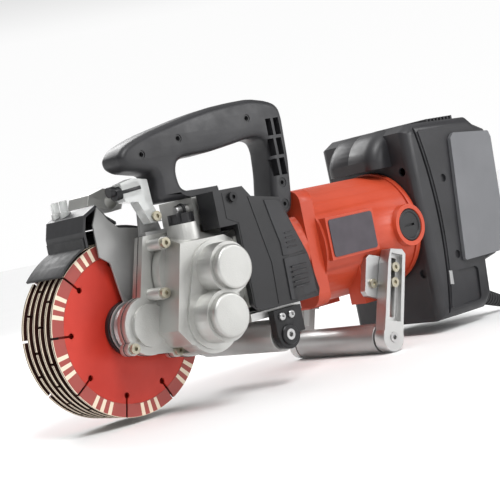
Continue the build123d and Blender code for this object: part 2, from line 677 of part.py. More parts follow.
def housing_screws():
    screws = [screw_y(c, HANDLE_MID - 12, HANDLE_MID + 12, 1.55, 3.5, 2.0) for c in HANDLE_SCREWS]
    screws += [screw_y(c, HANDLE_MID - 12, HANDLE_MID + 12, 2.05, 4.7, 3.5) for c in POST_SCREWS]
    screws.append(screw_y((84, 94), -74.0, -46.0, 2.15, 4.5, 3.0))
    return solids(*screws)


# ---- cord ----
BOOT_START = (420.0, -40.0, -57.0)
BOOT_DROP = 20.0
BOOT_LONG = 48.0
CORD_R = 4.5


def boot_place(part):
    return Pos(*BOOT_START) * Rot(0, 90 + BOOT_DROP, 0) * part


CORD_Z = FOOT_Z + CORD_R                 # the cord's middle where it lies on the floor
BOOT_END = (
    BOOT_START[0] + BOOT_LONG * cos(radians(BOOT_DROP)), BOOT_START[1],
    BOOT_START[2] - BOOT_LONG * sin(radians(BOOT_DROP)),
)
COIL_MIDDLE = (562.0, -89.5)
COIL_TURN_R = 49.5                       # middle of the three columns of turns
COIL_COLUMNS, COIL_LAYERS = 3, 3
LEAD_ROUTE = (
    BOOT_END, (473.5, -40.0, CORD_Z + 2.1), (486.0, -40.1, CORD_Z),
    (505.0, -39.8, CORD_Z), (528.0, -40.4, CORD_Z),
)
TAIL_ROUTE = (
    (530.0, -138.8, CORD_Z + 18.0), (507.0, -139.4, CORD_Z + 16.8), (484.0, -138.6, CORD_Z + 14.0),
)
PLUG_R = 18.5


def tube(name, route):
    """Straight runs joined by the largest tangent arcs that they leave room for."""
    points = [Vector(*p) for p in route]
    radii = []
    for a, b, c in zip(points, points[1:], points[2:]):
        half_turn = radians((b - a).get_angle(c - b)) / 2
        radii.append(0.45 * min((b - a).length, (c - b).length) / tan(half_turn))
    path = FilletPolyline(*points, radius=radii)
    print(name, "radii", [round(r) for r in radii], "length", round(path.length))
    start = Plane(origin=path @ 0, z_dir=path % 0)
    return sweep(start * Circle(CORD_R), path=path)


def cord_coil():
    x, y = COIL_MIDDLE
    wide = COIL_COLUMNS * CORD_R
    ring = rod_z(x, y, COIL_TURN_R + wide, FOOT_Z, FOOT_Z + COIL_LAYERS * 2 * CORD_R)
    return ring - rod_z(x, y, COIL_TURN_R - wide, FOOT_Z - 1, FOOT_Z + COIL_LAYERS * 2 * CORD_R + 1)


def plug():
    x, y, _ = TAIL_ROUTE[-1]
    z = FOOT_Z + PLUG_R
    half = shape((0, 0), (7, 0), (8.5, 14), (15, 24), (PLUG_R, 36), (PLUG_R, 52), (0, 52))
    body = Pos(x, y, z) * Rot(0, -90, 0) * revolve(Plane.XZ * half, Axis.Z)
    for side in (-9.5, 9.5):
        body += rod_x(y + side, z, 2.4, x - 71, x - 50)
    return body


def cord():
    lead = tube("lead", LEAD_ROUTE) - cord_coil()
    tail = tube("tail", TAIL_ROUTE) - cord_coil() - plug()
    return solids(lead, tail)


def cord_boot():
    boot = Solid.make_cone(9.8, 6.2, BOOT_LONG)
    return boot_place(boot - Solid.make_cylinder(CORD_R, BOOT_LONG + 2))


# ---- depth rollers ----
ARM_NEAR = (-70.0, -57.0)
ARM_FAR = (57.0, 66.0)


def base_plate():
    plate = block((90, 152), (-60, 52), (-18, -11.1))
    return plate + block((96, 137), (-50, 4), (-11.1, -8.0))


def roller_brackets():
    ears = []
    for low, high in ((-68.0, -60.0), (52.0, 60.0)):
        x, z = FRONT_ROLLER
        ear = rod_y((x, z), 13.0, low, high) + block((x - 14, x + 20), (low, high), (z, -13))
        ears.append(ear - rod_y((x, z), 5.0, low - 1, high + 1))
    return solids(*ears)


def roller(centre, r, low, high):
    tube = ring_y(centre, r, r - 4, low, high)
    for start in (low, high - 6):
        tube += ring_y(centre, r - 3, 5.0 + RUNNING, start, start + 6)
    return tube


def axle(centre, low, high):
    rod = rod_y(centre, 5.0, low, high)
    return rod - slab(Pos(*centre) * RegularPolygon(2.6, 6), low - 1, low + 4)


def lean(part):
    """Turn a part drawn upright over the rear roller's axis into the depth arms' direction."""
    x, z = REAR_ROLLER
    return Pos(x, 0, z) * Rot(0, ARM_LEAN, 0) * part


def depth_arm(low, high, pocket):
    outline = shape((-13, 0), (-11, 72), (-8, 86), (8, 88), (13, 84), (13, 0)) + Circle(14.0)
    arm = slab(outline, low, high)
    if pocket:
        arm -= slab(shape((-6.5, 16), (-6.5, 82), (8.5, 82), (8.5, 16)), low - 1, low + 5)
    arm -= slab(shape((-2.6, 20), (-2.6, 78), (4.6, 78), (4.6, 20)), low - 1, high + 1)
    arm -= rod_y((0, 0), 5.0, low - 1, high + 1)
    return lean(arm)


BOLT_HEIGHTS = (54.0, 69.0)
CLAMP_SCREW = (-18.3, 51.0)


def clamp_blocks():
    near = shape((-28, 42), (-28, 75), (-24, 79), (12, 80), (12, 38), (-24, 38))
    near = lean(slab(near, -56.7, -50.0) - rod_y(CLAMP_SCREW, 3.0, -60, -45))
    far = lean(slab(shape((-14, 38), (-14, 80), (12, 80), (12, 38)), 50.0, 56.7))
    for z in BOLT_HEIGHTS:
        near -= lean(rod_y((1, z), 3.0, -60, -45))
        far -= lean(rod_y((1, z), 3.0, 45, 60))
    motor = rod_x(0, MOTOR_Z, MOTOR_R + 0.05, FLANGE_REAR, MOTOR_REAR)
    return solids(near - motor, far - motor)


def depth_bolts():
    bolts = []
    for z in BOLT_HEIGHTS:
        bolt = rod_y((1, z), 2.95, -66.0, -50.0) + rod_y((1, z), 5.0, -69.0, -65.3)
        bolts.append(lean(bolt - slab(Pos(1, z) * RegularPolygon(2.3, 6), -70, -67)))
        bolt = rod_y((1, z), 2.95, 50.0, 70.0) + rod_y((1, z), 5.0, 66.3, 70.0)
        bolts.append(lean(bolt))
    bolts.append(lean(screw_y(CLAMP_SCREW, -56.7, -38.0, 2.95, 4.6, 2.6)))
    return bolts


# ---- guard ----
HOOD_R = 88.0


def guard_plate():
    """The near side plate, with a hub that turns on the gearcase neck."""
    plate = shape(
        (-12, 109), (-20, 94), (-20, 66), (-10, 59), (-7, 37), (-4, 20), (14, 18), (36, 46), (46, 76),
        (34, 83), (6, 88), (-3, 96),
    )
    plate += Circle(24.0)
    plate -= Circle(NECK_R + 0.25)
    return slab(plate, -8.2, -6.2)


NOZZLE_X, NOZZLE_FOOT, NOZZLE_COLLAR = -18.0, 105.0, 4.8
NOZZLE_Y = (47.0, 33.0)


def guard_hood():
    """Dark sheet hood over the blades, welded to the far side plate."""
    box = slab(shape((-12, 111), (-26, 104), (-30, 90), (-30, 76), (-27.5, 76), (-27.5, 90), (-24, 102),
                     (-11, 108.5), (-4, 98), (6, 91), (6, 93.5), (-3, 100)), -6.2, 54.0)
    top = slab(Circle(HOOD_R + 2.4) - Circle(HOOD_R), -6.2, 54.0)
    top &= block((5, 46), (-10, 60), (70, 95))
    far = shape((-12, 109), (-30, 90), (-30, 66), (-10, 59), (-7, 37), (-4, 20), (14, 18), (36, 46),
                (47, 76), (34, 84), (6, 91), (-3, 98))
    hood = box + top + slab(far, 52.0, 54.0) - rod_y(SPINDLE, 27.0, 40, 70)
    for y in NOZZLE_Y:
        hood -= rod_z(NOZZLE_X, y, NOZZLE_COLLAR, NOZZLE_FOOT - 2, NOZZLE_FOOT + 8)
    return hood


def guard_flap():
    """Rubber strip that follows the blades' rim below the hood's front edge."""
    strip = Circle(HOOD_R - 4.6) - Circle(HOOD_R - 6.6)
    strip &= shape(polar(60, 112.5), polar(110, 112.5), polar(120, 124), polar(110, 137), polar(60, 137))
    strip += shape((-32.6, 75.5), (-30.1, 75.5), (-30.1, 85), (-32.6, 85))
    return slab(strip, -5.0, 51.0)


def dust_port():
    outline = ((-8, 111.5), (-4, 121), (12, 125), (26, 122), (32, 112), (28, 104), (16, 103), (6, 108))
    return slab(shape(*outline), 12, 44) - rod_y((18, 112), 6.5, 10, 46)


def spray_nozzles():
    fittings = []
    for y in NOZZLE_Y:
        collar = rod_z(NOZZLE_X, y, NOZZLE_COLLAR, NOZZLE_FOOT, NOZZLE_FOOT + 6)
        barb = rod_z(NOZZLE_X, y, 3.6, NOZZLE_FOOT + 6, NOZZLE_FOOT + 16)
        fittings.append(collar + barb - rod_z(NOZZLE_X, y, 2.0, NOZZLE_FOOT - 1, NOZZLE_FOOT + 17))
    return solids(*fittings)


def guard_spring():
    return ring_y(SPINDLE, 24.2, NECK_R + 0.6, -19.6, -8.6)


# ---- laser ----
PIVOT = (27.0, 91.0)


def laser_stand():
    ear = slab(shape((16, 76.2), (19, 98), (35, 98), (40, 76.2)), -24.0, -20.4)
    foot = block((16, 40), (-31.5, -20.4), (76.0, 79.0))
    return ear + foot - rod_y(PIVOT, 2.5, -50, -10)


def laser_holder():
    outline = ((21, 86), (12, 106), (-1, 108), (-3, 124), (10, 127), (26, 124), (27, 101), (33, 86))
    arm = slab(shape(*outline), -36.0, -24.4)
    return arm - rod_y(PIVOT, 2.5, -50, -10) - laser_seat(6.0)


def laser_seat(r):
    return Pos(5, -30.2, 117) * Rot(0, 85, 0) * Cylinder(r, 26)


def laser_emitter():
    barrel = laser_seat(5.9)
    tip = Pos(-10, -30.2, 118.3) * Rot(0, 85, 0) * Cylinder(4.6, 6)
    return barrel + tip


def laser_screw():
    return screw_y(PIVOT, -36.2, -16.0, 2.45, 4.4, 3.0)


def main():
    os.makedirs("parts", exist_ok=True)
    save("front_blade", blade(0))
    save("rear_blades", solids(*[blade(n) for n in range(1, BLADES)]))
    save("blade_spacers", blade_spacers())
    save("clamp_flanges", clamp_flanges())
    save("arbor_nut", arbor_nut())
    save("spindle", spindle())
    save("spindle_gear", spur(SPINDLE, SPINDLE_TEETH, PHASE_SPINDLE, *PLANE_A, 10.0))
    save("idler_shaft", idler_shaft())
    save("idler_gears", idler_gears())
    save("upper_gear_shaft", upper_gear_shaft())
    save("cross_shaft", cross_shaft())
    save("crown_gear", crown_gear())
    save("armature_shaft", armature_shaft())
    save("armature_core", armature_core())
    save("commutator", commutator())
    save("cooling_fan", cooling_fan())
    save("shaft_bearings", shaft_bearings())
    save("gearcase", gearcase())
    save("gearcase_cover", gearcase_cover())
    save("bearing_caps", bearing_caps())
    save("filler_plug", filler_plug())
    save("steel_screws", solids(*case_screws(), *depth_bolts(), laser_screw()))
    save("gearhead", gearhead())
    save("gear_cover", gear_cover())
    near, far = handle_halves()
    save("handle_near", near)
    save("handle_far", far)
    save("housing_screws", housing_screws())
    save("motor_housing", motor_housing())
    save("nameplate", nameplate())
    save("stator", stator())
    save("stator_windings", stator_windings())
    holders, brushes, caps = brush_set()
    save("brush_holders", holders)
    save("carbon_brushes", brushes)
    save("brush_caps", caps)
    rear = rear_housing()
    save("rear_housing_near", split(rear, Plane.XZ, keep=Keep.TOP))
    save("rear_housing_far", split(rear, Plane.XZ, keep=Keep.BOTTOM))
    save("side_panel", side_panel())
    save("switch_rocker", switch_rocker())
    save("cord_boot", cord_boot())
    save("cord", cord())
    save("cord_coil", cord_coil())
    save("plug", plug())
    save("base_plate", base_plate())
    save("roller_brackets", roller_brackets())
    save("front_axle", axle(FRONT_ROLLER, -70.0, 61.0))
    save("front_roller", roller(FRONT_ROLLER, FRONT_ROLLER_R, -59.0, 51.0))
    save("depth_arm_near", depth_arm(*ARM_NEAR, True))
    save("depth_arm_far", depth_arm(*ARM_FAR, False))
    save("rear_axle", axle(REAR_ROLLER, -71.0, 67.0))
    save("rear_roller", roller(REAR_ROLLER, REAR_ROLLER_R, -55.0, 55.0))
    save("clamp_blocks", clamp_blocks())
    save("guard_plate", guard_plate())
    save("guard_hood", guard_hood())
    save("guard_flap", guard_flap())
    save("dust_port", dust_port())
    save("spray_nozzles", spray_nozzles())
    save("guard_spring", guard_spring())
    save("laser_stand", laser_stand())
    save("laser_holder", laser_holder())
    save("laser_emitter", laser_emitter())


if __name__ == "__main__":
    main()
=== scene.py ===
"""Looks of a wall chaser: camera, light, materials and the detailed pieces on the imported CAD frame."""
import json
from math import cos, pi, radians, sin, tau

import bmesh
import bpy
from mathutils import Matrix, Vector


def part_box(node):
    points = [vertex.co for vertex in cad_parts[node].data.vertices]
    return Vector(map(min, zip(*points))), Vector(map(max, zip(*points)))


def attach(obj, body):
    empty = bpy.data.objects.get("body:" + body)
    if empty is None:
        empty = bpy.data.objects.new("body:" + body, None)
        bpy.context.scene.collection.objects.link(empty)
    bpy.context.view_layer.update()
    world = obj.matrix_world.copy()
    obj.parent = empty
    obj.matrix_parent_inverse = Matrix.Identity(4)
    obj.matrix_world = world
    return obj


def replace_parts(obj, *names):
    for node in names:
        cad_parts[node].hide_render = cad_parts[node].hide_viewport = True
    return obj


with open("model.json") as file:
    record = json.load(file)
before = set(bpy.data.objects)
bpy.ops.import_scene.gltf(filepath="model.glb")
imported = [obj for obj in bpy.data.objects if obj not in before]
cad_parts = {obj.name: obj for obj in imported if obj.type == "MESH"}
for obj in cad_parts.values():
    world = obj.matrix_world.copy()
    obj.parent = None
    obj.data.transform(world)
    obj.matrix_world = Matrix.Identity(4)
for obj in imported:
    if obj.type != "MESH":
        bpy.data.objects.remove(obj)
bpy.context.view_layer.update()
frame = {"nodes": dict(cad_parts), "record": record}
nodes = frame["nodes"]

MM = 0.001
BLADE_LOW, BLADE_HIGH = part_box("front_blade")
ORIGIN = Vector((
    (BLADE_LOW.x + BLADE_HIGH.x) / 2, BLADE_LOW.y, (BLADE_LOW.z + BLADE_HIGH.z) / 2,
))


def at(x, y, z):
    """A point in the tool's own millimetres, from the middle of the front blade's outer face."""
    return ORIGIN + Vector((x, y, z)) * MM


# ---- camera ----
CAMERA_AT = (-656.2, -936.5, 80.0)
TURN, RISE, ROLL = radians(-40.96), radians(1.74), radians(-11.66)
LENS, SENSOR = 93.6, 36.0
NEAREST, FARTHEST = 0.05, 20.0             # metres


def make_camera():
    back = Vector((sin(TURN) * cos(RISE), -cos(TURN) * cos(RISE), sin(RISE)))
    right = Vector((cos(TURN), sin(TURN), 0))
    up = back.cross(right)
    rolled_right = cos(ROLL) * right + sin(ROLL) * up
    rolled_up = -sin(ROLL) * right + cos(ROLL) * up
    data = bpy.data.cameras.new("view")
    data.lens, data.sensor_width = LENS, SENSOR
    data.clip_start, data.clip_end = NEAREST, FARTHEST
    camera = bpy.data.objects.new("view", data)
    axes = Matrix((rolled_right, rolled_up, back)).transposed().to_4x4()
    camera.matrix_world = Matrix.Translation(at(*CAMERA_AT)) @ axes
    bpy.context.scene.collection.objects.link(camera)
    bpy.context.scene.camera = camera


# ---- shader nodes ----
REFRACTION = 1.48
RELIEF_DEPTH = 0.0004                      # metres, of the bump at full strength
WEAR_FINER = 3                             # uneven gloss is this much finer than the colour's drift


def calc(tree, kind, a, b=0.0):
    """One Math node; a and b are numbers or sockets."""
    node = tree.nodes.new("ShaderNodeMath")
    node.operation = kind
    for socket, value in zip(node.inputs, (a, b)):
        if isinstance(value, (int, float)):
            socket.default_value = value
        else:
            tree.links.new(value, socket)
    return node.outputs[0]


def blend_colour(tree, under, over, amount):
    """The over colour laid on the under colour's socket where the amount is 1."""
    node = tree.nodes.new("ShaderNodeMix")
    node.data_type = "RGBA"
    tree.links.new(amount, node.inputs["Factor"])
    colours = {socket.name: socket for socket in node.inputs if socket.type == "RGBA"}
    tree.links.new(under, colours["A"])
    colours["B"].default_value = (*over, 1.0)
    return next(socket for socket in node.outputs if socket.type == "RGBA")


def noise(tree, scale, detail=4.0, stretch=None):
    """Noise over the object's own place, from 0 to 1."""
    place = tree.nodes.new("ShaderNodeTexCoord")
    source = place.outputs["Object"]
    if stretch:
        mapping = tree.nodes.new("ShaderNodeMapping")
        mapping.inputs["Scale"].default_value = stretch
        tree.links.new(source, mapping.inputs["Vector"])
        source = mapping.outputs["Vector"]
    texture = tree.nodes.new("ShaderNodeTexNoise")
    texture.inputs["Scale"].default_value = scale
    texture.inputs["Detail"].default_value = detail
    tree.links.new(source, texture.inputs["Vector"])
    return texture.outputs["Fac"]


def ramp(tree, value, low, high, start=0.3, end=0.7):
    """Colours or levels from low to high as the value goes from start to end."""
    node = tree.nodes.new("ShaderNodeValToRGB")
    first, last = node.color_ramp.elements
    first.position, last.position = start, end
    for stop, shade in ((first, low), (last, high)):
        stop.color = (*shade, 1.0) if isinstance(shade, tuple) else (shade, shade, shade, 1.0)
    tree.links.new(value, node.inputs["Fac"])
    return node.outputs["Color"]


def finish(name, low, high, rough, metallic=0.0, blotch=25.0, grain=900.0, bump=0.05,
           stretch=None, see_through=0.0):
    """A surface whose colour drifts between two shades, with uneven gloss and a fine grain."""
    material = bpy.data.materials.new(name)
    material.use_nodes = True
    tree = material.node_tree
    shader = tree.nodes["Principled BSDF"]
    shader.inputs["Metallic"].default_value = metallic
    shader.inputs["Transmission Weight"].default_value = see_through
    shader.inputs["IOR"].default_value = REFRACTION
    tree.links.new(ramp(tree, noise(tree, blotch), low, high), shader.inputs["Base Color"])
    wear = noise(tree, blotch * WEAR_FINER)
    tree.links.new(ramp(tree, wear, rough[0], rough[1]), shader.inputs["Roughness"])
    relief = tree.nodes.new("ShaderNodeBump")
    relief.inputs["Strength"].default_value = bump
    relief.inputs["Distance"].default_value = RELIEF_DEPTH
    tree.links.new(noise(tree, grain, 2.0, stretch), relief.inputs["Height"])
    tree.links.new(relief.outputs["Normal"], shader.inputs["Normal"])
    return material


# ---- blade pattern, mm and degrees round the spindle ----
SEGMENTS = 9
SLOT_FIRST, STAGGER = 214.7, 16.0          # one slot of the front blade, and each next blade's turn
BLADES, BLADE_PITCH, BLADE_RIM = 6, 9.3, 3.0
INDEX_SLACK = 0.05                         # keeps a blade's front face with its own blade
CORE_R, BAR_START, RIM_R = 66.0, 66.6, 77.6
BARS, BAR_SPACING, BAR_HALF = 3, 0.16, 0.036          # the last two are shares of a segment
WAVES, WAVE_HEIGHT, GROOVE_HALF = 2, 0.35, 0.55
# the second colour is painted shade: the dark red of the blade faces shadowed in the gaps between blades
SEGMENT_RED, GAP_SHADE_RED = (0.36, 0.070, 0.058), (0.035, 0.010, 0.008)
DIAMOND_CREAM, GROOVE_DARK = (0.84, 0.72, 0.56), (0.03, 0.012, 0.010)


def paint_blades(material):
    """Cream diamond bars and rims on duller red segments, turned a little from blade to blade; the faces
    between the blades get painted shade, dark red without bars.
    """
    tree = material.node_tree
    shader = tree.nodes["Principled BSDF"]
    paint = shader.inputs["Base Color"].links[0].from_socket

    def do(kind, a, b=0.0):
        return calc(tree, kind, a, b)

    place = tree.nodes.new("ShaderNodeTexCoord")
    split = tree.nodes.new("ShaderNodeSeparateXYZ")
    tree.links.new(place.outputs["Object"], split.inputs["Vector"])
    x, y, z = (
        do("MULTIPLY", do("SUBTRACT", split.outputs[n], ORIGIN[n]), 1 / MM) for n in range(3)
    )
    radius = do("SQRT", do("ADD", do("MULTIPLY", x, x), do("MULTIPLY", z, z)))
    angle = do("MULTIPLY", do("ARCTAN2", z, x), 180 / pi)
    index = do("FLOOR", do("ADD", do("DIVIDE", y, BLADE_PITCH), INDEX_SLACK))
    turned_by = do("ADD", do("MULTIPLY", index, STAGGER), SLOT_FIRST)
    share = do("FRACT", do("DIVIDE", do("SUBTRACT", angle, turned_by), 360 / SEGMENTS))

    bars_half = BARS / 2 * BAR_SPACING
    near_bars = do("LESS_THAN", do("ABSOLUTE", do("SUBTRACT", share, 0.5)), bars_half)
    to_bar = do("FRACT", do("DIVIDE", do("SUBTRACT", share, 0.5 - bars_half), BAR_SPACING))
    on_bar = do("LESS_THAN", do("ABSOLUTE", do("SUBTRACT", to_bar, 0.5)), BAR_HALF / BAR_SPACING)
    bar = do("MULTIPLY", do("MULTIPLY", on_bar, near_bars), do("GREATER_THAN", radius, BAR_START))
    segment = do("GREATER_THAN", radius, CORE_R)
    rim = do("GREATER_THAN", radius, RIM_R)

    across = do("SUBTRACT", do("SUBTRACT", y, do("MULTIPLY", index, BLADE_PITCH)), BLADE_RIM / 2)
    wave = do("MULTIPLY", do("SINE", do("MULTIPLY", share, WAVES * tau)), WAVE_HEIGHT)
    off_middle = do("ABSOLUTE", do("ADD", across, wave))
    groove = do("MULTIPLY", do("LESS_THAN", off_middle, GROOVE_HALF), rim)

    # painted shade: faces between the front blade's outer face and the last blade's back face are darkened
    # and lose their bars, as if shadowed in the gaps
    behind_first = do("GREATER_THAN", y, BLADE_RIM / 2)
    before_last = do("LESS_THAN", y, (BLADES - 1) * BLADE_PITCH + BLADE_RIM / 2)
    painted_gap_shade = do("MULTIPLY", behind_first, before_last)
    bar = do("MULTIPLY", bar, do("SUBTRACT", 1.0, painted_gap_shade))

    shade = blend_colour(tree, paint, SEGMENT_RED, segment)
    # painted shade on the segments of the faces between the blades
    shade = blend_colour(tree, shade, GAP_SHADE_RED, do("MULTIPLY", segment, painted_gap_shade))
    shade = blend_colour(tree, shade, DIAMOND_CREAM, do("MAXIMUM", bar, rim))
    shade = blend_colour(tree, shade, GROOVE_DARK, groove)
    tree.links.new(shade, shader.inputs["Base Color"])


# ---- materials: each slot's name, two shades, range of roughness, and sizes of blotch and grain ----
FINISHES = {
    "blade_paint": ("red_blade_paint", dict(
        low=(0.46, 0.024, 0.012), high=(0.58, 0.042, 0.024), rough=(0.34, 0.48), metallic=0.1,
        blotch=20, grain=700, bump=0.06)),
    "machined_steel": ("machined_steel", dict(
        low=(0.42, 0.42, 0.42), high=(0.56, 0.56, 0.56), rough=(0.30, 0.42), metallic=1.0,
        blotch=40, grain=900, bump=0.05)),
    "zinc_screws": ("zinc_plated_screws", dict(
        low=(0.36, 0.33, 0.25), high=(0.50, 0.47, 0.38), rough=(0.28, 0.42), metallic=1.0,
        blotch=200, grain=900, bump=0.05)),
    "black_steel": ("black_oxide_steel", dict(
        low=(0.010, 0.010, 0.011), high=(0.022, 0.022, 0.024), rough=(0.32, 0.46), metallic=0.3,
        blotch=60, grain=1200, bump=0.06)),
    "cast_aluminium": ("cast_aluminium", dict(
        low=(0.46, 0.46, 0.445), high=(0.60, 0.60, 0.58), rough=(0.40, 0.56), metallic=1.0,
        blotch=14, grain=900, bump=0.45)),
    "polished_aluminium": ("brushed_aluminium", dict(
        low=(0.52, 0.52, 0.52), high=(0.62, 0.62, 0.61), rough=(0.34, 0.46), metallic=1.0,
        blotch=16, grain=500, bump=0.05, stretch=(1.0, 1.0, 0.15))),
    "black_plastic": ("black_plastic", dict(
        low=(0.009, 0.009, 0.010), high=(0.015, 0.015, 0.017), rough=(0.36, 0.48),
        blotch=30, grain=1600, bump=0.12)),
    "dark_grey_plastic": ("dark_grey_plastic", dict(
        low=(0.016, 0.016, 0.018), high=(0.026, 0.026, 0.029), rough=(0.36, 0.50),
        blotch=25, grain=1500, bump=0.14)),
    "light_grey_plastic": ("light_grey_panel", dict(
        low=(0.135, 0.138, 0.147), high=(0.175, 0.178, 0.188), rough=(0.34, 0.46),
        blotch=12, grain=1400, bump=0.08)),
    "orange_plastic": ("orange_red_plastic", dict(
        low=(0.45, 0.050, 0.019), high=(0.53, 0.068, 0.027), rough=(0.34, 0.46),
        blotch=16, grain=1400, bump=0.08)),
    "label_film": ("dark_label_film", dict(
        low=(0.052, 0.044, 0.054), high=(0.070, 0.060, 0.072), rough=(0.28, 0.38), metallic=0.1,
        blotch=60, grain=900, bump=0.03)),
    "lamination": ("stacked_steel_sheet", dict(
        low=(0.22, 0.22, 0.22), high=(0.34, 0.34, 0.34), rough=(0.4, 0.55), metallic=1.0,
        blotch=60, grain=800, bump=0.3, stretch=(3.0, 0.2, 0.2))),
    "copper": ("enamelled_copper", dict(
        low=(0.55, 0.20, 0.09), high=(0.70, 0.30, 0.15), rough=(0.3, 0.45), metallic=0.9,
        blotch=90, grain=900, bump=0.3)),
    "carbon": ("pressed_carbon", dict(
        low=(0.015, 0.015, 0.015), high=(0.03, 0.03, 0.03), rough=(0.6, 0.8))),
    "black_rubber": ("black_rubber", dict(
        low=(0.014, 0.014, 0.015), high=(0.022, 0.022, 0.024), rough=(0.45, 0.60),
        blotch=50, grain=1800, bump=0.2)),
    "clear_plastic": ("clear_plastic", dict(
        low=(0.78, 0.80, 0.79), high=(0.88, 0.89, 0.88), rough=(0.16, 0.28),
        blotch=20, grain=600, bump=0.03, see_through=0.6)),
    "roller_polymer": ("grey_turned_roller", dict(
        low=(0.36, 0.355, 0.35), high=(0.44, 0.435, 0.43), rough=(0.32, 0.44), metallic=0.7,
        blotch=22, grain=700, bump=0.08, stretch=(0.2, 1.0, 1.0))),
    "matt_sheet": ("matt_steel_sheet", dict(
        low=(0.34, 0.34, 0.34), high=(0.42, 0.42, 0.415), rough=(0.55, 0.68), metallic=0.9,
        blotch=18, grain=900, bump=0.10)),
}
FLOOR_FINISH = dict(
    low=(0.94, 0.94, 0.94), high=(0.96, 0.96, 0.96), rough=(0.6, 0.7), blotch=3.0, grain=60, bump=0.02)

SPECIAL_LOOKS = {"guard_plate": "matt_sheet", "laser_stand": "matt_sheet"}
WELD_WITHIN, EDGE_WIDTH = 0.000004, 0.0005            # metres
EDGE_STEPS, EDGE_ANGLE = 2, radians(34)


def make_materials():
    made = {slot: finish(name, **look) for slot, (name, look) in FINISHES.items()}
    paint_blades(made["blade_paint"])
    return made


def dress(materials):
    """Every CAD node gets its slot's material and soft edges."""
    for part in frame["record"]["subparts"]:
        node = nodes[part["node"]]
        node.data.materials.clear()
        node.data.materials.append(materials[SPECIAL_LOOKS.get(part["node"], part["material_slot"])])
        weld = node.modifiers.new("weld", "WELD")
        weld.merge_threshold = WELD_WITHIN
        edge = node.modifiers.new("edge", "BEVEL")
        edge.width, edge.segments = EDGE_WIDTH, EDGE_STEPS
        edge.limit_method, edge.angle_limit = "ANGLE", EDGE_ANGLE
        edge.harden_normals = True


# ---- making pieces ----
SMOOTH_BELOW, CARVED_SMOOTH_BELOW = radians(30), radians(32)
ACROSS = Vector((0, 1, 0))                 # away from the near side
FORWARDS = Vector((-1, 0, 0))              # away from the rear housing
PIN_SIDES, WELL_SIDES, ROUND_SIDES, FINE_SIDES = 24, 32, 48, 64


def put(name, data, slot):
    """A new piece from its mesh or curve, in a slot's material, riding on the tool's body."""
    piece = bpy.data.objects.new(name, data)
    bpy.context.scene.collection.objects.link(piece)
    data.materials.append(materials[slot])
    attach(piece, "tool")
    return piece


def to_mesh(bm, name):
    """The finished mesh, smooth where its faces meet at a small angle."""
    bmesh.ops.recalc_face_normals(bm, faces=bm.faces)
    mesh = bpy.data.meshes.new(name)
    bm.to_mesh(mesh)
    bm.free()
    mesh.shade_smooth()
    mesh.set_sharp_from_angle(angle=SMOOTH_BELOW)
    return mesh


def add_turned(bm, profile, start, along, sides=ROUND_SIDES):
    """A profile of (radius, distance) pairs in mm, turned about a line from a point."""
    face = along.to_track_quat("Z", "Y").to_matrix()
    rings = []
    for r, far in profile:
        if r == 0:
            rings.append([bm.verts.new(start + face @ Vector((0, 0, far)) * MM)] * sides)
            continue
        places = (Vector((r * cos(tau * n / sides), r * sin(tau * n / sides), far)) for n in range(sides))
        rings.append([bm.verts.new(start + face @ place * MM) for place in places])
    for low, high in zip(rings, rings[1:]):
        for n in range(sides):
            corners = [low[n], low[(n + 1) % sides], high[(n + 1) % sides], high[n]]
            bm.faces.new(list(dict.fromkeys(corners)))


def add_plate(bm, outline, y_near, y_far):
    """A flat outline in X and Z, thick from one Y to another; either Y may be a function of X."""
    near, far = ([
        bm.verts.new(at(x, y(x) if callable(y) else y, z)) for x, z in outline
    ] for y in (y_near, y_far))
    bm.faces.new(near)
    bm.faces.new(far[::-1])
    for n in range(len(outline)):
        m = (n + 1) % len(outline)
        bm.faces.new((near[n], far[n], far[m], near[m]))


def oblong(x_low, x_high, z_low, z_high):
    return ((x_low, z_low), (x_high, z_low), (x_high, z_high), (x_low, z_high))


def add_line(data, places):
    """A polyline through some places, added to a curve."""
    spline = data.splines.new("POLY")
    spline.points.add(len(places) - 1)
    for point, place in zip(spline.points, places):
        point.co = (*place, 1)
    return spline


def new_curve(name, radius, steps):
    """An empty curve in space, round in section, its radius in mm."""
    data = bpy.data.curves.new(name, "CURVE")
    data.dimensions = "3D"
    data.bevel_depth, data.bevel_resolution = radius * MM, steps
    return data


def soften(piece, width):
    edge = piece.modifiers.new("edge", "BEVEL")
    edge.width, edge.segments = width * MM, EDGE_STEPS
    edge.limit_method, edge.angle_limit = "ANGLE", SMOOTH_BELOW


def cut_corners(outline, reach, most=0.3):
    """An outline with each corner replaced by two points, for rounder bends."""
    points = []
    for a, b, c in zip(outline[-1:] + outline[:-1], outline, outline[1:] + outline[:1]):
        for other in (a, c):
            run = (other - b).length
            points.append(b + (other - b) * min(most, reach / run))
    return points


def carve(piece, cutter):
    """Take the cutter's solids out of a piece for good."""
    tool = bpy.data.objects.new("cutter", cutter)
    bpy.context.scene.collection.objects.link(tool)
    cut = piece.modifiers.new("cut", "BOOLEAN")
    cut.operation, cut.solver, cut.object = "DIFFERENCE", "EXACT", tool
    bpy.context.view_layer.update()
    ready = piece.evaluated_get(bpy.context.evaluated_depsgraph_get())
    mesh = bpy.data.meshes.new_from_object(ready)
    piece.modifiers.remove(cut)
    piece.data = mesh
    bpy.data.objects.remove(tool)
    mesh.shade_smooth()
    mesh.set_sharp_from_angle(angle=CARVED_SMOOTH_BELOW)


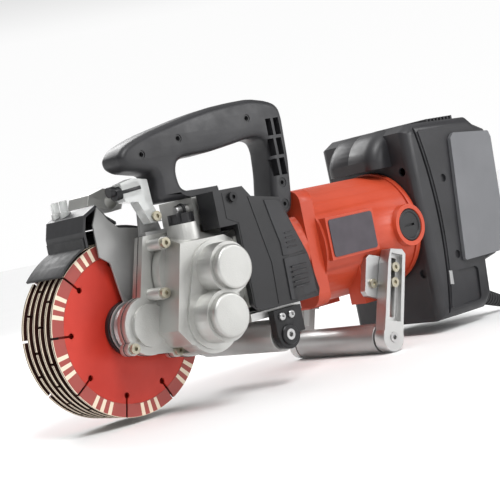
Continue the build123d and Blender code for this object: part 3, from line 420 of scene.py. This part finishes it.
# ---- handle ----
GRIP = (
    (-5, 142), (-1, 151), (9, 157), (32, 164), (56, 169), (81, 174), (106, 178), (131, 180), (156, 181),
    (178, 177), (189, 172), (192, 162), (190, 120), (184, 80), (178, 68), (162, 70), (160, 88), (165, 112),
    (167, 136), (162, 144), (148, 145), (120, 141), (95, 138), (62, 137), (55, 131), (54, 118), (58, 108),
    (98, 107), (100, 101.2), (30, 101.2), (32, 128), (2, 134),
)
GRIP_MID, GRIP_HALF, GRIP_EDGE, GRIP_EDGE_STEPS = -29.0, 16.0, 6.0, 4
GRIP_NEAR = GRIP_MID - GRIP_HALF
GRIP_BENDS = (4.0, 1.5)                    # reach of the two rounds of corner cutting
GRIP_WELD = 0.00002                        # metres
GRIP_SCREWS = ((19.0, 145.0), (62.0, 154.0), (146.0, 163.0))
POST_SCREWS = ((174.0, 99.0), (172.0, 79.0))
GRIP_SCREW_R, POST_SCREW_R = 3.8, 4.8
WELL_OUT, WELL_LONG = 3, 7                 # a well's cutter starts before the face
COLLAR_INSET, COLLAR_WALL, COLLAR_SUNK, COLLAR_LONG = 0.1, 1.4, 0.6, 4
POCKET_ROWS = (152.0, 133.0, 114.0)
POCKET_X, POCKET_APART, POCKET_LEAN = 176.6, 4.9, 1.2
POCKET_HALF_WIDE, POCKET_HALF_TALL, POCKET_OUT, POCKET_DEEP = 3.4, 8, 2, 8


def grip_shell():
    """The grip's outline as a thick mesh with round edges, standing in its place."""
    outline = [Vector(point) for point in GRIP]
    for reach in GRIP_BENDS:
        outline = cut_corners(outline, reach)
    data = bpy.data.curves.new("grip_outline", "CURVE")
    data.dimensions, data.fill_mode = "2D", "BOTH"
    add_line(data, [(x, z, 0) for x, z in outline]).use_cyclic_u = True
    data.extrude, data.bevel_depth, data.offset = GRIP_HALF - GRIP_EDGE, GRIP_EDGE, -GRIP_EDGE
    data.bevel_resolution = GRIP_EDGE_STEPS
    shell = bpy.data.objects.new("grip_outline", data)
    mesh = bpy.data.meshes.new_from_object(shell)
    bpy.data.objects.remove(shell)
    stand = Matrix.Translation(at(0, GRIP_MID, 0)) @ Matrix.Rotation(pi / 2, 4, "X") @ Matrix.Scale(MM, 4)
    mesh.transform(stand)
    bm = bmesh.new()
    bm.from_mesh(mesh)
    bmesh.ops.remove_doubles(bm, verts=bm.verts, dist=GRIP_WELD)
    return bm


def make_handle():
    """The D-shaped grip with its screw wells, the post's pockets and collars round the screws."""
    handle = put("handle_shell", to_mesh(grip_shell(), "handle_shell"), "dark_grey_plastic")
    cuts = bmesh.new()
    for screws, r in ((GRIP_SCREWS, GRIP_SCREW_R), (POST_SCREWS, POST_SCREW_R)):
        for x, z in screws:
            well = ((0, 0), (r, 0), (r, WELL_LONG), (0, WELL_LONG))
            add_turned(cuts, well, at(x, GRIP_NEAR - WELL_OUT, z), ACROSS, WELL_SIDES)
    for row, z in enumerate(POCKET_ROWS):
        for column in (-1, 1):
            x = POCKET_X + POCKET_APART * column - POCKET_LEAN * row
            pocket = oblong(x - POCKET_HALF_WIDE, x + POCKET_HALF_WIDE,
                            z - POCKET_HALF_TALL, z + POCKET_HALF_TALL)
            add_plate(cuts, pocket, GRIP_NEAR - POCKET_OUT, GRIP_NEAR + POCKET_DEEP)
    carve(handle, to_mesh(cuts, "handle_cuts"))
    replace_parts(handle, "handle_near", "handle_far")

    bosses = bmesh.new()
    for screws, well_r in ((POST_SCREWS, POST_SCREW_R), (GRIP_SCREWS, GRIP_SCREW_R)):
        r = well_r - COLLAR_INSET
        bore = r - COLLAR_WALL
        rim = ((bore, COLLAR_SUNK), (bore, 0), (r, 0), (r, COLLAR_LONG), (bore, COLLAR_LONG),
               (bore, COLLAR_SUNK))
        for x, z in screws:
            add_turned(bosses, rim, at(x, GRIP_NEAR + COLLAR_SUNK, z), ACROSS, WELL_SIDES)
    put("handle_bosses", to_mesh(bosses, "handle_bosses"), "black_plastic")


# ---- gear cover ----
FOLD_X, FOLD_RISE, FOLD_STEP, COVER_Y = 135.0, 18.5 / 55.0, 0.5, -74.0
COVER_BAND = ((102, 92), (117, 90), (121, 70), (127, 44), (126, -7), (113, -7), (114.5, 30), (110, 52))
UPPER_FIELD = (
    (119.5, 86.5), (135, 84), (139, 82), (150, 61), (165, 33.5), (135, 33.5), (129, 33.5), (129, 45),
    (124, 66),
)
LOWER_FIELD = ((129, 31), (135, 31), (167.5, 31), (171, 20), (172, -6), (135, -7), (128.5, -7))
COVER_SEAM = ((73.5, 99), (75, 99), (75, 77.5), (87, 72), (87, -5), (85.8, -5), (85.8, 71), (73.5, 76.5))
COVER_SUNK = 0.5                           # each plate starts this far inside the cover's face
BAND_RISE, UPPER_RISE, LOWER_RISE, SEAM_RISE = 0.5, 0.9, 1.2, 0.4
RIB_START, RIB_TALL = 136, 1.1
RIB_ROWS = (                               # count, lowest Z, spacing, end, each rib's loss, rise
    (4, 39.5, 4.4, 154, 1.5, 1.7),
    (5, 3.0, 4.6, 163, 0.0, 2.0),
)


def over_cover(rise):
    """The level of Y some way above the cover: flat, then sloping back behind the fold."""
    def level(x):
        fold = (x - FOLD_X) * FOLD_RISE - FOLD_STEP if x > FOLD_X else 0.0
        return COVER_Y + fold - rise
    return level


def make_cover_trim():
    """A dark diagonal band, two raised fields, fine ribs and the seam moulded on the cover."""
    under = over_cover(-COVER_SUNK)
    band = bmesh.new()
    add_plate(band, COVER_BAND, over_cover(BAND_RISE), under)
    put("cover_band", to_mesh(band, "cover_band"), "black_plastic")

    fields = bmesh.new()
    add_plate(fields, UPPER_FIELD, over_cover(UPPER_RISE), under)
    add_plate(fields, LOWER_FIELD, over_cover(LOWER_RISE), under)
    soften(put("cover_fields", to_mesh(fields, "cover_fields"), "dark_grey_plastic"), 0.5)

    ribs = bmesh.new()
    for count, lowest, apart, end, loss, rise in RIB_ROWS:
        for n in range(count):
            z = lowest + apart * n
            rib = oblong(RIB_START, end - loss * n, z, z + RIB_TALL)
            add_plate(ribs, rib, over_cover(rise), over_cover(0))
    soften(put("cover_ribs", to_mesh(ribs, "cover_ribs"), "dark_grey_plastic"), 0.25)

    seam = bmesh.new()
    add_plate(seam, COVER_SEAM, over_cover(SEAM_RISE), under)
    put("cover_seam", to_mesh(seam, "cover_seam"), "black_plastic")


# ---- gearcase seam ----
CASE_SPLIT, SEAM_R = -26.0, 0.45
SEAM_OFF = 0.5                             # the cut lies this far into the cover


def outer_loop(node, level):
    """The outermost closed line where a level of Y cuts a node's surface, in order."""
    bm = bmesh.new()
    bm.from_mesh(nodes[node].data)
    bm.transform(nodes[node].matrix_world)
    bmesh.ops.remove_doubles(bm, verts=bm.verts, dist=WELD_WITHIN)
    whole = bm.verts[:] + bm.edges[:] + bm.faces[:]
    bmesh.ops.bisect_plane(bm, geom=whole, plane_co=at(0, level, 0), plane_no=ACROSS,
                           clear_inner=True, clear_outer=True)
    first = min(bm.verts, key=lambda vert: vert.co.x)
    edge = first.link_edges[0]
    loop = [first]
    while edge.other_vert(loop[-1]) is not first:
        loop.append(edge.other_vert(loop[-1]))
        edge = next(way for way in loop[-1].link_edges if way is not edge)
    places = [vert.co.copy() for vert in loop]
    bm.free()
    return places


def make_gearcase_seam():
    """Gasket edge between the gearcase and its cover."""
    data = new_curve("gearcase_gasket", SEAM_R, 2)
    add_line(data, outer_loop("gearcase_cover", CASE_SPLIT + SEAM_OFF)).use_cyclic_u = True
    put("gearcase_gasket", data, "black_rubber")


# ---- guard spring ----
SPRING_TURNS, SPRING_PER_TURN = 7, 28
SPRING_WIRE_R, SPRING_R = 0.75, 21.4
SPRING_FROM, SPRING_TO = -18.7, -9.4


def make_spring():
    """Steel wire wound round the gearcase neck."""
    count = SPRING_TURNS * SPRING_PER_TURN
    places = []
    for n in range(count + 1):
        angle = tau * n / SPRING_PER_TURN
        y = SPRING_FROM + (SPRING_TO - SPRING_FROM) * n / count
        places.append(at(SPRING_R * cos(angle), y, SPRING_R * sin(angle)))
    data = new_curve("spring_wire", SPRING_WIRE_R, 3)
    data.use_fill_caps = True
    add_line(data, places)
    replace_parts(put("guard_spring_wire", data, "machined_steel"), "guard_spring")


# ---- saddle ----
STUD_FOOT = (62.2, -36, 92)
STUD = ((0, 0), (4.2, 0), (4.2, 12), (3.4, 13.2), (0, 13.2))
STUD_RING = ((4.1, 5), (5.6, 5), (5.9, 6.2), (5.6, 7.6), (4.1, 7.6))


def make_saddle_stud():
    """Round stud on the saddle's front with a rubber ring on it."""
    stud, ring = bmesh.new(), bmesh.new()
    add_turned(stud, STUD, at(*STUD_FOOT), FORWARDS)
    put("saddle_stud", to_mesh(stud, "saddle_stud"), "polished_aluminium")
    add_turned(ring, STUD_RING, at(*STUD_FOOT), FORWARDS)
    put("saddle_stud_ring", to_mesh(ring, "saddle_stud_ring"), "black_rubber")


# ---- motor and rear housing ----
BRUSH_X, BRUSH_Y, MOTOR_Z = 318, 60.4, 33
BRUSH_LIP = ((12.5, 0), (13.4, -1.2), (15.2, -1.2), (16.2, 0), (16.2, 2), (12.5, 2))
CLIP, CLIP_Y = ((360, -22), (365, -22.5), (364, -37), (359, -36)), (-63.4, -61.5)


def make_brush_collars():
    """Raised lip round each brush cap."""
    lips = bmesh.new()
    for side in (-1, 1):
        add_turned(lips, BRUSH_LIP, at(BRUSH_X, side * BRUSH_Y, MOTOR_Z), -side * ACROSS, FINE_SIDES)
    put("brush_cap_lips", to_mesh(lips, "brush_cap_lips"), "black_plastic")


def make_housing_clip():
    """Sprung steel clip on the rear housing's side."""
    clip = bmesh.new()
    add_plate(clip, CLIP, *CLIP_Y)
    soften(put("housing_clip", to_mesh(clip, "housing_clip"), "machined_steel"), 0.5)


# ---- roller bracket ----
BRACKET_FACES = ((-1, -68.0), (1, 60.0))   # side and Y of each bracket's outer face
ROLLER_X, ROLLER_Z = 124, -37
BRACKET_BOLT_X, BRACKET_BOLT_Z = (118.5, 130.0), -19.5
HUB = ((5.4, -1), (5.4, 1.8), (8.6, 1.8), (9.4, 1.0), (9.4, -1))
BOLT = ((0, -1), (3.6, -1), (3.6, 1.6), (3.0, 2.2), (1.7, 2.2), (1.7, 0.8), (0, 0.8))


def make_bracket_trim():
    """Hub ring and two bolts on each front roller bracket."""
    hubs, bolts = bmesh.new(), bmesh.new()
    for side, y in BRACKET_FACES:
        add_turned(hubs, HUB, at(ROLLER_X, y, ROLLER_Z), side * ACROSS)
        for x in BRACKET_BOLT_X:
            add_turned(bolts, BOLT, at(x, y, BRACKET_BOLT_Z), side * ACROSS, PIN_SIDES)
    put("bracket_hubs", to_mesh(hubs, "bracket_hubs"), "black_steel")
    put("bracket_bolts", to_mesh(bolts, "bracket_bolts"), "machined_steel")


# ---- cord ----
CORD_R, CORD_Z = 4.5, -78.5
BOOT_START, BOOT_DROP, BOOT_LONG = (420.0, -40.0, -57.0), radians(20), 48.0
BOOT_END = (
    BOOT_START[0] + BOOT_LONG * cos(BOOT_DROP), BOOT_START[1], BOOT_START[2] - BOOT_LONG * sin(BOOT_DROP),
)
BOOT_R, BOOT_TIP_R, BOOT_BORE = 9.7, 6.2, 4.6
BOOT_GROOVES, GROOVE_FIRST, GROOVE_APART = 7, 14, 4.6
BOOT_GROOVE = ((0, 0), (1.1, 0.6), (1.2, 1.8), (0.2, 2.4))                # depth and distance
LEAD = (
    BOOT_END, (473.5, -40.0, CORD_Z + 2.1), (486.0, -39.4, CORD_Z), (505.0, -36.6, CORD_Z),
    (530.0, -32.6, CORD_Z),
)
TAIL = ((530.0, -138.8, CORD_Z + 18.0), (507.0, -139.4, CORD_Z + 16.8), (484.0, -138.6, CORD_Z + 14.0))
COIL_X, COIL_Y, LAYER = 562.0, -89.5, 9.0
OUTER, MIDDLE, INNER = 58.5, 49.5, 40.5
COIL_TURNS = (                             # radius and layer at each turn's start and end
    (OUTER, MIDDLE, 0, 0), (MIDDLE, INNER, 0, 0), (INNER, INNER, 0, 1), (INNER, MIDDLE, 1, 1),
    (MIDDLE, OUTER, 1, 1), (OUTER, OUTER, 1, 2),
)
PER_TURN, SHIFT_FROM = 16, 0.8
SHIFT_LONG = 1 - SHIFT_FROM
PLUG_BODY = (
    (8.5, 14.6), (11, 18.5), (15, 24), (17.6, 31), (18.4, 37), (18.4, 46), (17.6, 50.5), (16, 52), (0, 52),
)
PLUG_RIBS, PLUG_RIB_FIRST, PLUG_RIB_APART = 4, 2.4, 3.1
PLUG_PIN, PIN_APART = ((0, 50), (2.4, 50), (2.4, 69.6), (1.4, 71), (0, 71)), 19.0


def coil_points():
    """Each turn keeps its radius and layer, then moves to the next ones in its last fifth."""
    points = []
    for start_r, end_r, start_layer, end_layer in COIL_TURNS:
        for n in range(PER_TURN):
            share = n / PER_TURN
            move = max(0.0, (share - SHIFT_FROM) / SHIFT_LONG)
            r = start_r + (end_r - start_r) * move
            points.append((share, r, start_layer + (end_layer - start_layer) * move))
    for n in range(PER_TURN // 2 + 1):
        share = n / PER_TURN
        points.append((share, OUTER + (MIDDLE - OUTER) * min(1.0, share / SHIFT_LONG), 2))
    places = []
    for share, r, layer in points:
        angle = pi / 2 - tau * share
        places.append((COIL_X + r * cos(angle), COIL_Y + r * sin(angle), CORD_Z + LAYER * layer))
    return places


def make_plug():
    """Moulded two-pin plug with a ribbed neck."""
    start = at(*TAIL[-1])
    profile = [(0, 0), (5.6, 0), (6.6, 0.8)]
    for n in range(PLUG_RIBS):
        reach = PLUG_RIB_FIRST + PLUG_RIB_APART * n
        ridge, valley = 7.0 + 0.3 * n, 5.8 + 0.4 * n
        profile += [(ridge, reach), (valley, reach + 0.9), (valley, reach + 1.9)]
    body, metal = bmesh.new(), bmesh.new()
    add_turned(body, [*profile, *PLUG_BODY], start, FORWARDS, FINE_SIDES)
    plug = put("mains_plug", to_mesh(body, "mains_plug"), "black_rubber")
    for side in (-1, 1):
        add_turned(metal, PLUG_PIN, start + side * PIN_APART / 2 * ACROSS * MM, FORWARDS, PIN_SIDES)
    pins = put("plug_pins", to_mesh(metal, "plug_pins"), "machined_steel")
    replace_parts(plug, "plug")
    return plug, pins


def make_cord():
    """The mains cord from the boot to the plug, most of it in a flat coil of three layers."""
    route = [*LEAD, *coil_points(), *TAIL]
    data = new_curve("mains_cord", CORD_R, 5)
    data.resolution_u, data.use_fill_caps = 6, True
    spline = data.splines.new("NURBS")
    spline.points.add(len(route) - 1)
    for point, place in zip(spline.points, route):
        point.co = (*at(*place), 1)
    spline.order_u = 3
    spline.use_endpoint_u = True
    cord = put("mains_cord", data, "black_rubber")
    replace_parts(cord, "cord", "cord_coil")
    plug, pins = make_plug()


def make_strain_relief():
    """Tapered boot with grooves, from the rear housing down to the cord."""
    taper = (BOOT_R - BOOT_TIP_R) / BOOT_LONG
    profile = [(BOOT_R, 0.0)]
    for n in range(BOOT_GROOVES):
        reach = GROOVE_FIRST + GROOVE_APART * n
        outer = BOOT_R - taper * reach
        profile += [(outer - deep, reach + far) for deep, far in BOOT_GROOVE]
    profile += [(6.4, BOOT_LONG - 1), (5.6, BOOT_LONG), (BOOT_BORE, BOOT_LONG), (BOOT_BORE, 2.0)]
    boot = bmesh.new()
    add_turned(boot, profile, at(*BOOT_START), Vector((cos(BOOT_DROP), 0, -sin(BOOT_DROP))))
    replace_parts(put("strain_relief", to_mesh(boot, "strain_relief"), "black_rubber"), "cord_boot")


# ---- stage ----
FLOOR_SIZE = 80.0                          # metres
AIM = (150, 0, 40)
KEY_AT, KEY_STRENGTH, KEY_SPREAD = (0, -700, 1000), 1.8, radians(24)
SIDE_AT, SIDE_SIZE, SIDE_POWER = (900, -1000, 500), 0.5, 5
RIM_AT, RIM_SIZE, RIM_POWER = (300, 1000, 900), 0.8, 10
SKY_ENDS = (0.50, 1.0)                     # the horizon and straight overhead, both white
SKY_STOPS = ((0.58, 0.97), (0.64, 0.20), (0.82, 0.22), (0.90, 0.85))      # height and brightness


def add_light(name, kind, place):
    """A light at a place, aimed at the tool's middle."""
    data = bpy.data.lights.new(name, kind)
    light = bpy.data.objects.new(name, data)
    aim = (at(*AIM) - at(*place)).to_track_quat("-Z", "Y").to_matrix().to_4x4()
    light.matrix_world = Matrix.Translation(at(*place)) @ aim
    bpy.context.scene.collection.objects.link(light)
    return data


def sky_light(tree):
    """The same all round: white up to the horizon, dark above it, and bright overhead."""
    place = tree.nodes.new("ShaderNodeTexCoord")
    split = tree.nodes.new("ShaderNodeSeparateXYZ")
    level = tree.nodes.new("ShaderNodeMapRange")
    level.inputs["From Min"].default_value = -1.0
    shades = tree.nodes.new("ShaderNodeValToRGB")
    stops = shades.color_ramp.elements
    for stop, position in zip(stops, SKY_ENDS):
        stop.position, stop.color = position, (1.0, 1.0, 1.0, 1)
    for position, shade in SKY_STOPS:
        stops.new(position).color = (shade, shade, shade, 1)
    tree.links.new(place.outputs["Generated"], split.inputs["Vector"])
    tree.links.new(split.outputs["Z"], level.inputs["Value"])
    tree.links.new(level.outputs["Result"], shades.inputs["Fac"])
    tree.links.new(shades.outputs["Color"], tree.nodes["Background"].inputs["Color"])


def make_stage():
    bpy.ops.mesh.primitive_plane_add(size=FLOOR_SIZE, location=(0, 0, 0))
    floor = bpy.context.object
    floor.name = "floor"
    floor.data.materials.append(finish("pale_floor", **FLOOR_FINISH))
    world = bpy.data.worlds.new("studio")
    bpy.context.scene.world = world
    world.use_nodes = True
    sky_light(world.node_tree)
    bpy.context.scene.view_settings.view_transform = "Standard"
    key = add_light("key", "SUN", KEY_AT)
    key.energy, key.angle = KEY_STRENGTH, KEY_SPREAD
    for name, place, size, power in (
        ("side", SIDE_AT, SIDE_SIZE, SIDE_POWER),
        ("rim", RIM_AT, RIM_SIZE, RIM_POWER),
    ):
        data = add_light(name, "AREA", place)
        data.shape, data.size, data.energy = "DISK", size, power


make_camera()
materials = make_materials()
dress(materials)
make_cord()
make_strain_relief()
make_handle()
make_cover_trim()
make_gearcase_seam()
make_spring()
make_saddle_stud()
make_brush_collars()
make_housing_clip()
make_bracket_trim()
make_stage()
